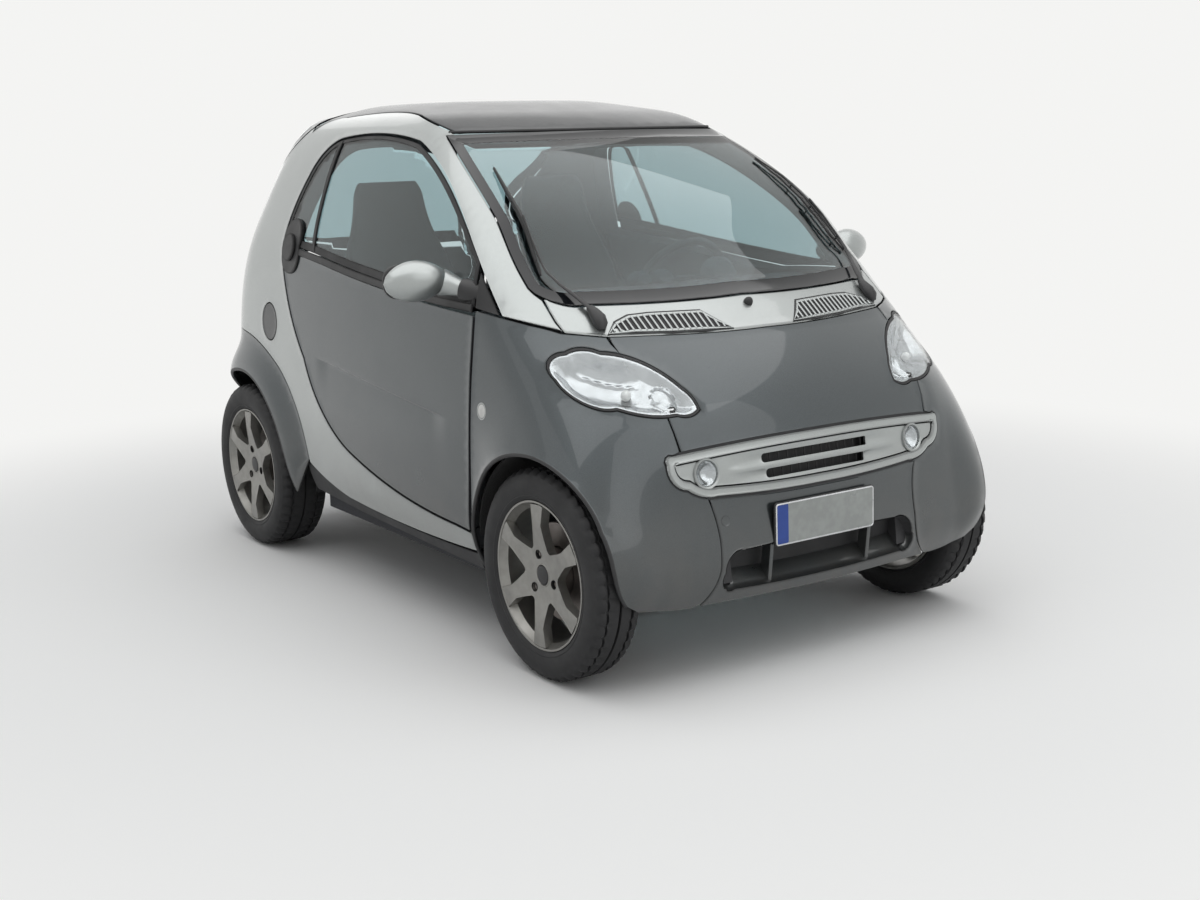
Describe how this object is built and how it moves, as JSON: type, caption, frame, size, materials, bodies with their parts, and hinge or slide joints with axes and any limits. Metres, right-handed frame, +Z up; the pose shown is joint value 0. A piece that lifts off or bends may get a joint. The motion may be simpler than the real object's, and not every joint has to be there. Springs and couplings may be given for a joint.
{
  "type": "microcar",
  "caption": "Short two-seat microcar with a two-tone body, hinged doors, split rear hatch, steering and four turning wheels.",
  "frame": {"origin": "on the ground under the middle of the car's bounding box", "axes": "+X is forward, +Y is the car's left, +Z is up"},
  "size_m": [2.5247, 1.78, 1.5179],
  "materials": {
    "silver_paint": "silver metallic paint, gloss",
    "grey_paint": "dark grey metallic paint, wet gloss",
    "roof_black": "gloss black",
    "gloss_black": "gloss black",
    "black_plastic": "textured black",
    "window_glass": "tinted, clear",
    "lamp_glass": "clear lens over reflector",
    "tail_lamp_red": "red lens",
    "plate_white": "pale reflective sheet",
    "interior_plastic": "grained dark plastic",
    "seat_fabric": "dark woven cloth",
    "underbody": "black underseal",
    "dark_steel": "black painted steel",
    "cast_block": "cast, dull",
    "steel": "dull steel",
    "tyre_rubber": "black rubber",
    "wheel_alloy": "silver lacquered cast alloy"
  },
  "bodies": {
    "chassis": {"floor_pan": "underbody", "front_structure": "underbody", "side_frame_right": "silver_paint", "side_frame_left": "silver_paint", "cowl_panel": "silver_paint", "pillar_corners": "gloss_black", "roof_panel": "roof_black", "windscreen": "window_glass", "front_fender_right": "grey_paint", "front_fender_left": "grey_paint", "rear_fender_right": "grey_paint", "rear_fender_left": "grey_paint", "hood_panel": "grey_paint", "front_bumper": "grey_paint", "front_grille": "silver_paint", "front_lamps": "lamp_glass", "tail_lamps": "tail_lamp_red", "rear_panel": "silver_paint", "rear_bumper": "grey_paint", "side_sills": "black_plastic", "number_plates": "plate_white", "wipers": "black_plastic", "dashboard": "interior_plastic", "seats": "seat_fabric", "front_axle": "dark_steel", "rear_axle": "dark_steel", "engine_block": "cast_block", "exhaust": "steel", "arch_liners": "black_plastic"},
    "door_right": {"door_panel_right": "grey_paint", "door_glass_right": "window_glass", "door_trim_right": "gloss_black", "mirror_right": "silver_paint"},
    "door_left": {"door_panel_left": "grey_paint", "door_glass_left": "window_glass", "door_trim_left": "gloss_black", "mirror_left": "silver_paint"},
    "hatch": {"hatch_glass": "window_glass"},
    "tailgate": {"tailgate_flap": "grey_paint"},
    "fuel_lid": {"fuel_flap": "gloss_black"},
    "steering": {"steering_wheel": "interior_plastic"},
    "knuckle_right": {"knuckle_right": "cast_block"},
    "knuckle_left": {"knuckle_left": "cast_block"},
    "wheel_front_right": {"tyre_front_right": "tyre_rubber", "rim_front_right": "wheel_alloy"},
    "wheel_front_left": {"tyre_front_left": "tyre_rubber", "rim_front_left": "wheel_alloy"},
    "wheel_rear_right": {"tyre_rear_right": "tyre_rubber", "rim_rear_right": "wheel_alloy"},
    "wheel_rear_left": {"tyre_rear_left": "tyre_rubber", "rim_rear_left": "wheel_alloy"}
  },
  "joints": [
    {"name": "door_right_hinge", "type": "hinge", "parent": "chassis", "child": "door_right", "pos_m": [0.56, -0.69, 0.35], "axis": [0, 0, 1], "range_deg": [0, 65]},
    {"name": "door_left_hinge", "type": "hinge", "parent": "chassis", "child": "door_left", "pos_m": [0.56, 0.69, 0.35], "axis": [0, 0, -1], "range_deg": [0, 65]},
    {"name": "hatch_hinge", "type": "hinge", "parent": "chassis", "child": "hatch", "pos_m": [-0.719, 0, 1.513], "axis": [0, 1, 0], "range_deg": [0, 80]},
    {"name": "tailgate_hinge", "type": "hinge", "parent": "chassis", "child": "tailgate", "pos_m": [-1.238, 0, 0.79], "axis": [0, -1, 0], "range_deg": [0, 90]},
    {"name": "fuel_flap_hinge", "type": "hinge", "parent": "chassis", "child": "fuel_lid", "pos_m": [-0.6505, -0.711, 0.812], "axis": [0, 0, 1], "range_deg": [0, 95]},
    {"name": "steer_right", "type": "hinge", "parent": "chassis", "child": "knuckle_right", "pos_m": [0.905, -0.545, 0.2845], "axis": [0, 0, 1], "range_deg": [-34, 34]},
    {"name": "steer_left", "type": "hinge", "parent": "chassis", "child": "knuckle_left", "pos_m": [0.905, 0.545, 0.2845], "axis": [0, 0, 1], "range_deg": [-34, 34]},
    {"name": "steering_wheel_turn", "type": "hinge", "parent": "chassis", "child": "steering", "pos_m": [0.19, 0.33, 0.905], "axis": [-0.9063, 0, 0.4226], "range_deg": [-612, 612]},
    {"name": "wheel_front_right_spin", "type": "hinge", "parent": "knuckle_right", "child": "wheel_front_right", "pos_m": [0.905, -0.637, 0.2845], "axis": [0, 1, 0], "continuous": true},
    {"name": "wheel_front_left_spin", "type": "hinge", "parent": "knuckle_left", "child": "wheel_front_left", "pos_m": [0.905, 0.637, 0.2845], "axis": [0, 1, 0], "continuous": true},
    {"name": "wheel_rear_right_spin", "type": "hinge", "parent": "chassis", "child": "wheel_rear_right", "pos_m": [-0.907, -0.654, 0.2865], "axis": [0, 1, 0], "continuous": true},
    {"name": "wheel_rear_left_spin", "type": "hinge", "parent": "chassis", "child": "wheel_rear_left", "pos_m": [-0.907, 0.654, 0.2865], "axis": [0, 1, 0], "continuous": true}
  ],
  "couplings": [
    {"joint": "steer_left", "follows": "steer_right", "ratio": 1},
    {"joint": "steering_wheel_turn", "follows": "steer_right", "ratio": 18}
  ]
}
